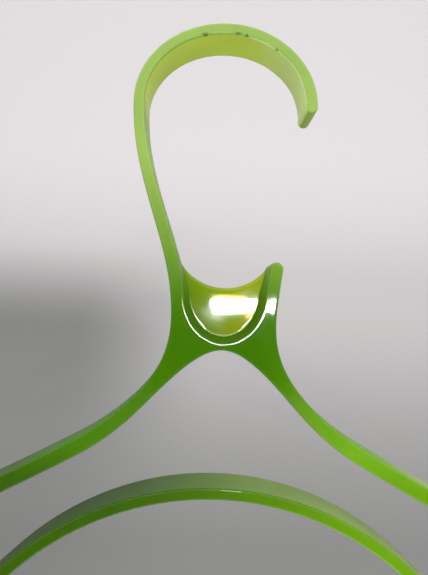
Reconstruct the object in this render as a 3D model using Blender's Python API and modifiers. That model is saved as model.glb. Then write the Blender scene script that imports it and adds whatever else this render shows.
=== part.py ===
"""A child's clothes hanger moulded in one shot of polypropylene, split into its members.

The hanger is one flat strip of plastic standing on edge: a hook, a shank, a neck with a small
pocket for hanging a second hanger, two shoulders and a lower rail that arches up in the middle.
+Z is up, the front faces -Y, and the origin is the point of the hook that rests on the wardrobe
rail. The body below the hook is symmetric about a plane a little to the right of that point, and
every outline is drawn about that plane as (across, up) pairs.
"""

import math

import bmesh
import bpy
from mathutils import Vector

MM = 0.001

# Overall sizes.
OVERALL_WIDTH = 350 * MM  # shoulder end to shoulder end
RAIL_DROP = 190 * MM  # hook seat down to the middle of the lower rail's ends
BODY_OFFSET = 1.8 * MM  # symmetry plane of the body, to the right of the hook seat

# The strip.
STRIP_DEPTH = 11.5 * MM  # front to back
EDGE_RADIUS = 0.45 * MM
MEMBER_GAP = 0.3 * MM  # between neighbouring members

# Hook: half an ellipse with a rounded tip, standing on a leaning shank.
HOOK_INNER_WIDTH = 42.8 * MM
HOOK_INNER_RISE = 18.5 * MM  # seat above the level where the hook springs from the shank
HOOK_THICKNESS = 2.9 * MM
TIP_THICKNESS = 3.3 * MM
TIP_SHARE = 0.17  # share of the half ellipse that belongs to the tip
SHANK_LOWER_REACH = 16 * MM
SHANK_UPPER_REACH = 19 * MM

# Neck: two posts stand on a yoke, the left one carries the shank, the right one is the prong.
POST_LEVEL = -69.1 * MM  # the feet of the posts
POST_HALF_SPAN = 12.43 * MM  # from the symmetry plane to the middle of a post
POST_LEAN = 7.0  # degrees from upright, outwards
POST_THICKNESS = 3.6 * MM
PRONG_LENGTH = 7.3 * MM
PRONG_THICKNESS = 3.5 * MM
POCKET_DEPTH = 12.8 * MM  # below the foot of the posts
BRIDGE_THICKNESS = 2.0 * MM  # between the pocket and the neck's underside
YOKE_SIDE_UPPER_REACH = 12 * MM
YOKE_SIDE_LOWER_REACH = 11.6 * MM
NECK_APEX_REACH = 6.2 * MM
NECK_ROOT_REACH = 10.3 * MM

# Web: the thin panel that closes the pocket at half depth.
WEB_THICKNESS = 1.8 * MM
WEB_CORNER_LEVEL = -62.85 * MM
WEB_SAG = 5.9 * MM  # of its upper edge, between the posts

# Shoulders.
ROOT_LEVEL = -97.7 * MM
ROOT_HALF_SPAN = 21.4 * MM
ROOT_SLOPE = 46.7  # degrees below level
ROOT_THICKNESS = 3.45 * MM
ROOT_SHARE = 0.12  # share of the shoulder over which it thickens
SWEEP_RADIUS = 67.4 * MM
SWEEP_TURN = 17.8
SHOULDER_THICKNESS = 4.0 * MM

# Shoulder ends.
END_RADIUS = 11 * MM
CORNER_REACH = 16.5 * MM
END_THICKNESS = 3.4 * MM

# Lower rail.
CROWN_LEVEL = -120.6 * MM
CROWN_RADIUS = 77 * MM
CROWN_SLOPE = 44.0  # where the arch passes into the sweeps
RAIL_THICKNESS = 3.0 * MM

# How finely curves are cut into straight sides.
FINEST_TURN = 5.5
LONGEST_SIDE = 14 * MM
CURVE_TRIALS = 48
REACH_SHARE = 0.36  # handle length of a plain bend, as a share of its chord

# Corners sharper than these, in degrees, are kept sharp in the shading and eased in the shape.
SHADED_SHARP = 30.0
EASED_SHARP = 60.0

GREEN = (0.15, 0.36, 0.012, 1.0)
PALE_GREEN = (0.27, 0.36, 0.02, 1.0)
GLOSS_ROUGHNESS = 0.22
POLYPROPYLENE_IOR = 1.49


def direction(degrees):
    """The unit vector at an angle measured from across towards up."""
    return Vector((math.cos(math.radians(degrees)), math.sin(math.radians(degrees))))


def sideways(heading):
    """The unit vector to the left of a heading."""
    return Vector((-heading.y, heading.x))


def mirrored(point):
    """The same point on the other side of the body's symmetry plane."""
    return Vector((-point.x, point.y))


def arc(start, heading, radius, turn):
    """(point, heading) pairs along an arc that turns by so many degrees, positive to the left."""
    side = math.copysign(1.0, turn)
    centre = start + sideways(direction(heading)) * radius * side
    by_turn = math.ceil(abs(turn) / FINEST_TURN)
    by_side = math.ceil(math.radians(abs(turn)) * radius / LONGEST_SIDE)
    count = max(2, by_turn, by_side)
    stations = []
    for step in range(count + 1):
        angle = heading + turn * step / count
        stations.append((centre - sideways(direction(angle)) * radius * side, direction(angle)))
    return stations


def bend(start, start_heading, end, end_heading, start_reach, end_reach):
    """(point, heading) pairs along a cubic curve between two points with given headings."""
    inner_start = start + direction(start_heading) * start_reach
    inner_end = end - direction(end_heading) * end_reach

    def at(t):
        s = 1 - t
        point = start * s**3 + inner_start * (3 * s * s * t) + inner_end * (3 * s * t * t) + end * t**3
        pull = (inner_start - start) * s * s + (inner_end - inner_start) * (2 * s * t) + (end - inner_end) * t * t
        return point, pull.normalized()

    trials = [at(step / CURVE_TRIALS) for step in range(CURVE_TRIALS + 1)]
    stations = [trials[0]]
    for number, (point, heading) in enumerate(trials[1:], 1):
        last_point, last_heading = stations[-1]
        turned = math.degrees(last_heading.angle(heading))
        if turned >= FINEST_TURN or (point - last_point).length >= LONGEST_SIDE or number == CURVE_TRIALS:
            stations.append((point, heading))
    return stations


def plain_bend(start, start_heading, end, end_heading):
    """A bend whose handles are a fixed share of its chord."""
    reach = (end - start).length * REACH_SHARE
    return bend(start, start_heading, end, end_heading, reach, reach)


def joined(*runs):
    """Runs that follow on from each other as one, with each shared station kept once."""
    whole = list(runs[0])
    for run in runs[1:]:
        whole += run[1:]
    return whole


def trimmed(stations, start=True, end=True):
    """Stations drawn back by half the gap where another member follows."""
    cut = list(stations)
    half_gap = MEMBER_GAP / 2
    if start:
        point, heading = cut[0]
        cut[0] = (point + heading * half_gap, heading)
    if end:
        point, heading = cut[-1]
        cut[-1] = (point - heading * half_gap, heading)
    return cut


def lengths_along(stations):
    """How far along its run each station is, from 0 to 1."""
    travelled = [0.0]
    for (before, _), (after, _) in zip(stations, stations[1:]):
        travelled.append(travelled[-1] + (after - before).length)
    return [length / travelled[-1] for length in travelled]


def offset_edge(stations, start_thickness, end_thickness, side, settled):
    """One edge of a strip: side is 1 for the left of its headings and -1 for the right.

    The thickness has reached its end value at the share of the run that settled gives.
    """
    edge = []
    for (point, heading), share in zip(stations, lengths_along(stations)):
        reached = min(share / settled, 1.0)
        thickness = start_thickness + (end_thickness - start_thickness) * reached
        edge.append(point + sideways(heading) * thickness / 2 * side)
    return edge


def strip_outline(stations, start_thickness, end_thickness, round_end=False, settled=1.0):
    """The closed outline of a strip along its middle line, with a half round nose if asked."""
    left = offset_edge(stations, start_thickness, end_thickness, 1, settled)
    right = offset_edge(stations, start_thickness, end_thickness, -1, settled)
    nose = []
    if round_end:
        end, heading = stations[-1]
        turn = round(180 / FINEST_TURN / 2)
        for step in range(1, turn):
            angle = math.pi / 2 - math.pi * step / turn
            spoke = heading * math.cos(angle) + sideways(heading) * math.sin(angle)
            nose.append(end + spoke * end_thickness / 2)
    return left + nose + right[::-1]


def plate(name, outline, across, depth, edge_radius, collection, material):
    """A solid of one outline in the XZ plane, as deep as given about y = 0, with eased edges."""
    curve = bpy.data.curves.new(name, "CURVE")
    curve.dimensions = "2D"
    curve.fill_mode = "BOTH"
    curve.extrude = depth / 2
    spline = curve.splines.new("POLY")
    spline.points.add(len(outline) - 1)
    for spot, point in zip(spline.points, outline):
        spot.co = (point.x, point.y, 0, 1)
    spline.use_cyclic_u = True
    drawn = bpy.data.objects.new(name + "_outline", curve)
    collection.objects.link(drawn)
    drawn.rotation_euler = (math.pi / 2, 0, 0)
    drawn.location = (across, 0, 0)
    bpy.context.view_layer.update()
    graph = bpy.context.evaluated_depsgraph_get()
    mesh = bpy.data.meshes.new_from_object(drawn.evaluated_get(graph))
    mesh.name = name
    solid = bpy.data.objects.new(name, mesh)
    solid.matrix_world = drawn.matrix_world
    bpy.data.objects.remove(drawn)
    shell = bmesh.new()
    shell.from_mesh(mesh)
    bmesh.ops.remove_doubles(shell, verts=shell.verts, dist=0.001 * MM)
    bmesh.ops.recalc_face_normals(shell, faces=shell.faces)
    shell.to_mesh(mesh)
    shell.free()
    mesh.materials.clear()
    mesh.materials.append(material)
    mesh.shade_smooth()
    mesh.set_sharp_from_angle(angle=math.radians(SHADED_SHARP))
    collection.objects.link(solid)
    easing = solid.modifiers.new("eased_edges", "BEVEL")
    easing.width = edge_radius
    easing.segments = 1
    easing.limit_method = "ANGLE"
    easing.angle_limit = math.radians(EASED_SHARP)
    return solid


def moulded_plastic(name, colour):
    """Glossy polypropylene of one colour."""
    material = bpy.data.materials.new(name)
    material.use_nodes = True
    shader = material.node_tree.nodes["Principled BSDF"]
    shader.inputs["Base Color"].default_value = colour
    shader.inputs["Roughness"].default_value = GLOSS_ROUGHNESS
    shader.inputs["Metallic"].default_value = 0.0
    shader.inputs["IOR"].default_value = POLYPROPYLENE_IOR
    return material


def hook_line():
    """The hook's middle line, from where it springs off the shank, over the top, to its tip."""
    half_width = (HOOK_INNER_WIDTH + HOOK_THICKNESS) / 2
    rise = HOOK_INNER_RISE + HOOK_THICKNESS / 2
    count = 2 * math.ceil(90 / FINEST_TURN)
    stations = []
    for step in range(count + 1):
        angle = math.pi * (1 - step / count)
        point = Vector((half_width * math.cos(angle), rise * math.sin(angle) - HOOK_INNER_RISE))
        heading = Vector((half_width * math.sin(angle), -rise * math.cos(angle)))
        stations.append((point, heading.normalized()))
    return stations


def split(stations, share):
    """A run cut in two at the station nearest a share of its length."""
    along = lengths_along(stations)
    cut = min(range(1, len(along) - 1), key=lambda number: abs(along[number] - share))
    return stations[: cut + 1], stations[cut:]


def post_top():
    """Middle and heading of the right post where it leaves the yoke."""
    return Vector((POST_HALF_SPAN, POST_LEVEL)), 90 - POST_LEAN


def shoulder_root():
    """Middle and heading of the right shoulder where it leaves the yoke."""
    return Vector((ROOT_HALF_SPAN, ROOT_LEVEL)), -ROOT_SLOPE


def end_side():
    """The outermost point of the right shoulder end's middle line."""
    return Vector((OVERALL_WIDTH / 2 - END_THICKNESS / 2, END_RADIUS - RAIL_DROP))


def end_foot():
    """The lowest point of the right shoulder end's middle line, where the rail starts inwards."""
    return end_side() - Vector((END_RADIUS, END_RADIUS))


def shoulder_line():
    """The right shoulder's middle line, from the yoke to the bend of its end."""
    root, heading = shoulder_root()
    sweep = arc(root, heading, SWEEP_RADIUS, SWEEP_TURN)
    start = sweep[-1][0]
    end = end_side() + Vector((-CORNER_REACH, CORNER_REACH))
    chord = end - start
    start_heading = heading + SWEEP_TURN
    chord_heading = math.degrees(math.atan2(chord.y, chord.x))
    return joined(sweep, plain_bend(start, start_heading, end, 2 * chord_heading - start_heading))


def end_line():
    """The right end's middle line, from the shoulder round to the lower rail."""
    start, heading = shoulder_line()[-1]
    start_heading = math.degrees(math.atan2(heading.y, heading.x))
    corner = plain_bend(start, start_heading, end_side(), -90)
    return joined(corner, arc(end_side(), -90, END_RADIUS, -90))


def crown_end():
    """Where the arch of the rail passes into its right sweep."""
    outwards = math.sin(math.radians(CROWN_SLOPE)) * CROWN_RADIUS
    down = (1 - math.cos(math.radians(CROWN_SLOPE))) * CROWN_RADIUS
    return Vector((outwards, CROWN_LEVEL - down))


def sweep_line():
    """The rail's right sweep, from the shoulder end inwards and up to the arch."""
    return plain_bend(end_foot(), 180, crown_end(), 180 - CROWN_SLOPE)


def crown_line():
    """The rail's arch, from its right end over the middle to its left end."""
    return arc(crown_end(), 180 - CROWN_SLOPE, CROWN_RADIUS, 2 * CROWN_SLOPE)


def pocket_side():
    """The foot of the right post's inner face, where the pocket's edge begins."""
    post, heading = post_top()
    return post + sideways(direction(heading)) * POST_THICKNESS / 2


def pocket_edge(clearance):
    """The pocket's half ellipse from its right side to its left, drawn in by a clearance."""
    side = pocket_side()
    edge = []
    count = 2 * math.ceil(90 / FINEST_TURN)
    for step in range(count + 1):
        angle = math.pi * step / count
        across = (side.x - clearance) * math.cos(angle)
        down = (POCKET_DEPTH - clearance) * math.sin(angle)
        edge.append(Vector((across, side.y - down)))
    return edge


def yoke_outline():
    """The neck: right side down to the shoulder, under the neck, and up the left side."""
    half_gap = MEMBER_GAP / 2
    post, post_heading = post_top()
    up = direction(post_heading)
    root, root_heading = shoulder_root()
    out = direction(root_heading)
    post_outer = post - up * half_gap - sideways(up) * POST_THICKNESS / 2
    root_upper = root - out * half_gap + sideways(out) * ROOT_THICKNESS / 2
    root_lower = root - out * half_gap - sideways(out) * ROOT_THICKNESS / 2
    neck_apex = Vector((0, pocket_side().y - POCKET_DEPTH - BRIDGE_THICKNESS))
    side = bend(
        post_outer, post_heading - 180, root_upper, root_heading,
        YOKE_SIDE_UPPER_REACH, YOKE_SIDE_LOWER_REACH,
    )
    under = bend(
        root_lower, root_heading + 180, neck_apex, 180,
        NECK_ROOT_REACH, NECK_APEX_REACH,
    )
    right = [point for point, _ in side + under]
    left = [mirrored(point) for point in right[-2::-1]]
    pocket = pocket_edge(0)[::-1]
    pocket[0] = pocket[0] - Vector((0, half_gap))
    pocket[-1] = pocket[-1] - Vector((0, half_gap))
    return right + left + pocket


def web_outline():
    """The web: down the posts' inner faces, round the pocket and back along its sagging top."""
    up = direction(post_top()[1])
    inner = pocket_side() + sideways(up) * MEMBER_GAP
    corner = inner + up * ((WEB_CORNER_LEVEL - inner.y) / up.y)
    sag_radius = (corner.x**2 + WEB_SAG**2) / (2 * WEB_SAG)
    half_angle = math.degrees(math.asin(corner.x / sag_radius))
    top = arc(mirrored(corner), -half_angle, sag_radius, 2 * half_angle)
    return [corner] + pocket_edge(MEMBER_GAP) + [point for point, _ in top[:-1]]


def build():
    """Draws every member and links it to the hanger's collection."""
    collection = bpy.data.collections.new("clothes_hanger")
    bpy.context.scene.collection.children.link(collection)
    green = moulded_plastic("green_polypropylene", GREEN)
    pale = moulded_plastic("thin_green_polypropylene", PALE_GREEN)

    def member(name, outline, across=BODY_OFFSET, depth=STRIP_DEPTH, material=green):
        plate(name, outline, across, depth, EDGE_RADIUS, collection, material)

    crown, tip = split(hook_line(), 1 - TIP_SHARE)
    member("hook_crown", strip_outline(trimmed(crown), HOOK_THICKNESS, HOOK_THICKNESS), 0)
    tip = trimmed(tip, end=False)
    member("hook_tip", strip_outline(tip, HOOK_THICKNESS, TIP_THICKNESS, round_end=True), 0)

    post, heading = post_top()
    spring = hook_line()[0][0] - Vector((BODY_OFFSET, 0))
    shank = bend(mirrored(post), 180 - heading, spring, 90, SHANK_LOWER_REACH, SHANK_UPPER_REACH)
    member("hook_shank", strip_outline(trimmed(shank), POST_THICKNESS, HOOK_THICKNESS))

    prong_end = post + direction(heading) * PRONG_LENGTH
    prong = trimmed([(post, direction(heading)), (prong_end, direction(heading))], end=False)
    member("link_prong", strip_outline(prong, POST_THICKNESS, PRONG_THICKNESS, round_end=True))

    member("neck_yoke", yoke_outline())
    member("pocket_web", web_outline(), depth=WEB_THICKNESS, material=pale)

    halves = {
        "shoulder": (shoulder_line(), ROOT_THICKNESS, SHOULDER_THICKNESS, ROOT_SHARE),
        "shoulder_end": (end_line(), SHOULDER_THICKNESS, RAIL_THICKNESS, 1.0),
        "rail_sweep": (sweep_line(), RAIL_THICKNESS, RAIL_THICKNESS, 1.0),
    }
    for name, (line, start_thickness, end_thickness, settled) in halves.items():
        outline = strip_outline(trimmed(line), start_thickness, end_thickness, settled=settled)
        member("right_" + name, outline)
        member("left_" + name, [mirrored(point) for point in outline[::-1]])
    member("rail_crown", strip_outline(trimmed(crown_line()), RAIL_THICKNESS, RAIL_THICKNESS))


for leftover in list(bpy.data.objects):
    bpy.data.objects.remove(leftover)
build()
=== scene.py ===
"""Looks of a child's clothes hanger: one seamless moulding of glossy, translucent green plastic.

The moulding is drawn flat, as two ribbons of quads in the front plane. One runs from the hook's tip
down the shank, round the neck's pocket and up the prong. The other runs from one shoulder's root
round both ends and along the lower rail to the other root. The flat drawing is then pulled back to
half depth, the pocket gets its drafted wall and its web, and the half is mirrored.
"""

from __future__ import annotations

import logging
import math
from dataclasses import dataclass, field
from enum import Enum
from typing import Iterable, Sequence

import bmesh
import bpy
from mathutils import Matrix, Vector

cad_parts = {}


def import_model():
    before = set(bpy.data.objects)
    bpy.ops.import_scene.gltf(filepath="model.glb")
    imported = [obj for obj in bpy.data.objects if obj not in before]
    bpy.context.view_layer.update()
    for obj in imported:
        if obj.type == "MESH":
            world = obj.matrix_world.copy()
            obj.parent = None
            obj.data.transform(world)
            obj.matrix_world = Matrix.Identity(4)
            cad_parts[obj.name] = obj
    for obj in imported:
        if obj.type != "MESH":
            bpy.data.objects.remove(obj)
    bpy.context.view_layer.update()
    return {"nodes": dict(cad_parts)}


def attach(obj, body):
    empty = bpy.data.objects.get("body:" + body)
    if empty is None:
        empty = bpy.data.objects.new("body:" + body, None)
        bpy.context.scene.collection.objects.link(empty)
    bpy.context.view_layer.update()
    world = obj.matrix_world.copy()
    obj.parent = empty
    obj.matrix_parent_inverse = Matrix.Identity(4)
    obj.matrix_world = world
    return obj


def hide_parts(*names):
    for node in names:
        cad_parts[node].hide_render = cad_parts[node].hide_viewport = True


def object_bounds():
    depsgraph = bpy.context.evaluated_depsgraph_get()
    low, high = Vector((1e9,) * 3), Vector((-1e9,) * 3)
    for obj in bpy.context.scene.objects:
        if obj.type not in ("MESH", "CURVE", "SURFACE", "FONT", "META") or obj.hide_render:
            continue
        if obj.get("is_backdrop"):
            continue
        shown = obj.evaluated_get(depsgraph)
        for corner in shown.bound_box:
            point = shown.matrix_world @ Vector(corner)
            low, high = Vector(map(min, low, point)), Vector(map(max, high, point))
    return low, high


LOG = logging.getLogger("hanger")
MM = 0.001
ROOT_BODY = "root"
MERGE_DISTANCE = 0.004 * MM
LEVEL_SLACK = 0.01 * MM

Station = tuple[Vector, Vector]
Rung = tuple[Vector, Vector]
Span = tuple[float, float]
Colour = tuple[float, float, float]


def direction(degrees: float) -> Vector:
    """Returns the unit vector at an angle measured from across towards up."""
    return Vector((math.cos(math.radians(degrees)), math.sin(math.radians(degrees))))


def sideways(heading: Vector) -> Vector:
    """Returns the unit vector to the left of a heading."""
    return Vector((-heading.y, heading.x))


def mirrored(point: Vector) -> Vector:
    """Returns the same point on the other side of the body's symmetry plane."""
    return Vector((-point.x, point.y))


@dataclass
class Pen:
    """Draws middle lines finely enough to look round.

    Attributes:
        finest_turn: the most a line turns between two stations, in degrees.
        longest_step: the furthest apart two stations are.
        trials: how many places on a bend are tried as stations.
        reach_share: handle length of a plain bend, as a share of its chord.
    """

    finest_turn: float = 2.4
    longest_step: float = 3.2 * MM
    trials: int = 240
    reach_share: float = 0.36

    def arc(self, start: Vector, heading: float, radius: float, turn: float) -> list[Station]:
        """Draws an arc.

        Args:
            start: where it starts.
            heading: its first heading in degrees.
            radius: its radius.
            turn: how far it turns in degrees, positive to the left.

        Returns:
            Pairs of a point and the heading there.
        """
        side = math.copysign(1.0, turn)
        centre = start + sideways(direction(heading)) * radius * side
        by_turn = math.ceil(abs(turn) / self.finest_turn)
        by_step = math.ceil(math.radians(abs(turn)) * radius / self.longest_step)
        count = max(2, by_turn, by_step)
        stations = []
        for step in range(count + 1):
            angle = heading + turn * step / count
            stations.append((centre - sideways(direction(angle)) * radius * side, direction(angle)))
        return stations

    def bend(
        self, start: Vector, start_heading: float, end: Vector, end_heading: float,
        start_reach: float, end_reach: float,
    ) -> list[Station]:
        """Draws a cubic curve between two points.

        Args:
            start: where it starts.
            start_heading: its first heading in degrees.
            end: where it ends.
            end_heading: its last heading in degrees.
            start_reach: how long the curve keeps to its first heading.
            end_reach: how long it keeps to its last heading.

        Returns:
            Pairs of a point and the heading there.
        """
        inner_start = start + direction(start_heading) * start_reach
        inner_end = end - direction(end_heading) * end_reach
        stations: list[Station] = []
        for number in range(self.trials + 1):
            t = number / self.trials
            s = 1 - t
            point = start * s**3 + inner_start * (3 * s * s * t) + inner_end * (3 * s * t * t) + end * t**3
            pull = (inner_start - start) * s * s + (inner_end - inner_start) * (2 * s * t)
            heading = (pull + (end - inner_end) * t * t).normalized()
            if stations:
                turned = math.degrees(stations[-1][1].angle(heading))
                gone = (point - stations[-1][0]).length
                if turned < self.finest_turn and gone < self.longest_step and number < self.trials:
                    continue
            stations.append((point, heading))
        return stations

    def plain_bend(
        self, start: Vector, start_heading: float, end: Vector, end_heading: float
    ) -> list[Station]:
        """Draws a bend whose handles are a fixed share of its chord."""
        reach = (end - start).length * self.reach_share
        return self.bend(start, start_heading, end, end_heading, reach, reach)


def rungs_across(
    stations: Sequence[Station], start_thickness: float, end_thickness: float, settled: float = 1.0
) -> list[Rung]:
    """Spreads a middle line to a strip.

    Args:
        stations: the middle line.
        start_thickness: the strip's thickness at its start.
        end_thickness: its thickness at its end.
        settled: the share of the run after which the thickness stays the same.

    Returns:
        One pair of points per station, on the left and on the right of its heading.
    """
    travelled = [0.0]
    for (before, _), (after, _) in zip(stations, stations[1:]):
        travelled.append(travelled[-1] + (after - before).length)
    rungs = []
    for (point, heading), length in zip(stations, travelled):
        share = min(length / travelled[-1] / settled, 1.0)
        half = (start_thickness + (end_thickness - start_thickness) * share) / 2
        rungs.append((point + sideways(heading) * half, point - sideways(heading) * half))
    return rungs


def spaced(line: Sequence[Vector], count: int) -> list[Vector]:
    """Returns so many equal steps along a line, with its two ends kept."""
    travelled = [0.0]
    for before, after in zip(line, line[1:]):
        travelled.append(travelled[-1] + (after - before).length)
    points = [line[0]]
    for step in range(1, count):
        goal = travelled[-1] * step / count
        number = max(number for number, length in enumerate(travelled) if length <= goal)
        share = (goal - travelled[number]) / (travelled[number + 1] - travelled[number])
        points.append(line[number].lerp(line[number + 1], share))
    return points + [line[-1]]


def nose_rungs(station: Station, thickness: float, blunt: float = 78.0, count: int = 9) -> list[Rung]:
    """Rounds off a strip's free end.

    Args:
        station: the last point and heading of the strip's middle line.
        thickness: the strip's thickness there.
        blunt: how far round the half circle goes, in degrees.
        count: how many rungs it takes.

    Returns:
        The nose's rungs, outwards, without the one at the station itself.
    """
    point, heading = station
    rungs = []
    for step in range(1, count + 1):
        angle = math.radians(blunt * step / count)
        middle = point + heading * math.sin(angle) * thickness / 2
        half = math.cos(angle) * thickness / 2
        rungs.append((middle + sideways(heading) * half, middle - sideways(heading) * half))
    return rungs


@dataclass
class HangerPlan:
    """The hanger's flat drawing, about the body's symmetry plane, in (across, up) pairs.

    The overall width, depth and the rail's drop come from the imported model's bounds. The others repeat the
    design's own.
    """

    pen: Pen = field(default_factory=Pen)
    body_offset: float = 1.8 * MM
    hook_inner_width: float = 42.8 * MM
    hook_inner_rise: float = 18.5 * MM
    hook_thickness: float = 2.9 * MM
    tip_thickness: float = 3.3 * MM
    tip_share: float = 0.17
    shank_lower_reach: float = 16 * MM
    shank_upper_reach: float = 19 * MM
    post_level: float = -69.1 * MM
    post_half_span: float = 12.43 * MM
    post_lean: float = 7.0
    post_thickness: float = 3.6 * MM
    prong_length: float = 7.3 * MM
    prong_thickness: float = 3.5 * MM
    pocket_depth: float = 12.8 * MM
    bridge_thickness: float = 2.0 * MM
    side_upper_reach: float = 12 * MM
    side_lower_reach: float = 11.6 * MM
    apex_reach: float = 6.2 * MM
    root_reach: float = 10.3 * MM
    root_level: float = -97.7 * MM
    root_half_span: float = 21.4 * MM
    root_slope: float = 46.7
    root_thickness: float = 3.45 * MM
    sweep_radius: float = 67.4 * MM
    sweep_turn: float = 17.8
    shoulder_thickness: float = 4.0 * MM
    root_share: float = 0.12
    end_radius: float = 11 * MM
    corner_reach: float = 16.5 * MM
    end_thickness: float = 3.4 * MM
    crown_level: float = -120.6 * MM
    crown_radius: float = 77 * MM
    crown_slope: float = 44.0
    rail_thickness: float = 3.0 * MM
    web_corner_level: float = -62.85 * MM
    web_sag: float = 5.9 * MM
    leg_steps: int = 9
    under_steps: int = 10
    side_steps: int = 21
    cut_level: float = -85.6 * MM
    cut_across: float = 6.4 * MM
    cut_angle: float = 60.0

    def __post_init__(self) -> None:
        """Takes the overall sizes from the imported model."""
        low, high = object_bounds()
        self.half_width = (high.x - low.x) / 2
        self.half_depth = (high.y - low.y) / 2
        self.rail_drop = -low.z - self.rail_thickness / 2

    def post_foot(self) -> tuple[Vector, float]:
        """Returns the middle and heading of the right post where it leaves the yoke."""
        return Vector((self.post_half_span, self.post_level)), 90 - self.post_lean

    def pocket_side(self) -> Vector:
        """Returns the foot of the right post's inner face."""
        foot, heading = self.post_foot()
        return foot + sideways(direction(heading)) * self.post_thickness / 2

    def pocket_point(self, angle: float) -> Vector:
        """Returns the point of the pocket's edge so many degrees below its right side."""
        side = self.pocket_side()
        turn = math.radians(angle)
        return Vector((side.x * math.cos(turn), side.y - self.pocket_depth * math.sin(turn)))

    def web_levels(self) -> Span:
        """Returns the levels of the pocket's floor and of the web's corners."""
        return self.pocket_side().y - self.pocket_depth, self.web_corner_level

    def hook_stations(self) -> list[Station]:
        """Returns the hook's middle line over the top, from its spring to its tip."""
        half_width = (self.hook_inner_width + self.hook_thickness) / 2
        rise = self.hook_inner_rise + self.hook_thickness / 2
        count = 2 * math.ceil(90 / self.pen.finest_turn)
        stations = []
        for step in range(count + 1):
            angle = math.pi * (1 - step / count)
            across = half_width * math.cos(angle) - self.body_offset
            heading = Vector((half_width * math.sin(angle), -rise * math.cos(angle)))
            point = Vector((across, rise * math.sin(angle) - self.hook_inner_rise))
            stations.append((point, heading.normalized()))
        return stations

    def hook_rungs(self) -> list[Rung]:
        """Returns the rungs from the left post's foot up the shank and over the hook to its nose."""
        foot, heading = self.post_foot()
        over = self.hook_stations()
        shank = self.pen.bend(
            mirrored(foot), 180 - heading, over[0][0], 90, self.shank_lower_reach, self.shank_upper_reach
        )
        cut = round((1 - self.tip_share) * (len(over) - 1))
        rungs = rungs_across(shank, self.post_thickness, self.hook_thickness)
        rungs += rungs_across(over[: cut + 1], self.hook_thickness, self.hook_thickness)[1:]
        rungs += rungs_across(over[cut:], self.hook_thickness, self.tip_thickness)[1:]
        return rungs + nose_rungs(over[-1], self.tip_thickness)

    def prong_rungs(self) -> list[Rung]:
        """Returns the rungs from the right post's foot up to the prong's nose."""
        foot, heading = self.post_foot()
        up = direction(heading)
        count = math.ceil(self.prong_length / (self.pen.longest_step / 2))
        stations = [(foot + up * self.prong_length * step / count, up) for step in range(count + 1)]
        rungs = rungs_across(stations, self.post_thickness, self.prong_thickness)
        return rungs + nose_rungs(stations[-1], self.prong_thickness)

    def root(self) -> tuple[Vector, float]:
        """Returns the middle and heading of the right shoulder where it leaves the yoke."""
        return Vector((self.root_half_span, self.root_level)), -self.root_slope

    def root_rung(self) -> Rung:
        """Returns the cut between the yoke and the right shoulder, upper point first."""
        middle, heading = self.root()
        out = direction(heading)
        half = sideways(out) * self.root_thickness / 2
        return middle + half, middle - half

    def yoke_side(self) -> list[Vector]:
        """Returns the yoke's right side from the shoulder's root up to the post's foot."""
        foot, heading = self.post_foot()
        outer = foot - sideways(direction(heading)) * self.post_thickness / 2
        upper = self.root_rung()[0]
        side = self.pen.bend(
            upper, 180 - self.root_slope, outer, heading, self.side_lower_reach, self.side_upper_reach
        )
        return [point for point, _ in side]

    def yoke_under(self) -> list[Vector]:
        """Returns the neck's underside from its middle to the right shoulder's root."""
        apex = Vector((0, self.pocket_side().y - self.pocket_depth - self.bridge_thickness))
        lower = self.root_rung()[1]
        under = self.pen.bend(apex, 0, lower, -self.root_slope, self.apex_reach, self.root_reach)
        return [point for point, _ in under]

    def cuts(self) -> tuple[int, int]:
        """Returns where the neck's ribbon leaves the underside, and where it joins the side."""
        within = [number for number, point in enumerate(self.yoke_under()) if point.x < self.cut_across]
        above = [number for number, point in enumerate(self.yoke_side()) if point.y > self.cut_level]
        return within[-1], above[0]

    def yoke_rungs(self) -> list[Rung]:
        """Returns the rungs round the pocket from its middle up to the right post's foot, outer first."""
        last_under, first_side = self.cuts()
        under = spaced(self.yoke_under()[: last_under + 1], self.under_steps)
        side = spaced(self.yoke_side()[first_side:], self.side_steps)
        half_step = self.cut_angle / (2 * self.side_steps)
        rungs = []
        for number, point in enumerate(under):
            angle = 90 - (90 - self.cut_angle - half_step) * number / self.under_steps
            rungs.append((point, self.pocket_point(angle)))
        for number, point in enumerate(side):
            angle = (self.cut_angle - half_step) * (1 - number / self.side_steps)
            rungs.append((point, self.pocket_point(angle)))
        return rungs

    def leg_rungs(self) -> list[Rung]:
        """Returns the rungs from the cut under the pocket out to the right shoulder's root."""
        last_under, first_side = self.cuts()
        upper = spaced(self.yoke_side()[: first_side + 1][::-1], self.leg_steps)
        lower = spaced(self.yoke_under()[last_under:], self.leg_steps)
        return list(zip(upper, lower))

    def end_side(self) -> Vector:
        """Returns the outermost point of the right end's middle line."""
        return Vector((self.half_width - self.end_thickness / 2, self.end_radius - self.rail_drop))

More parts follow.
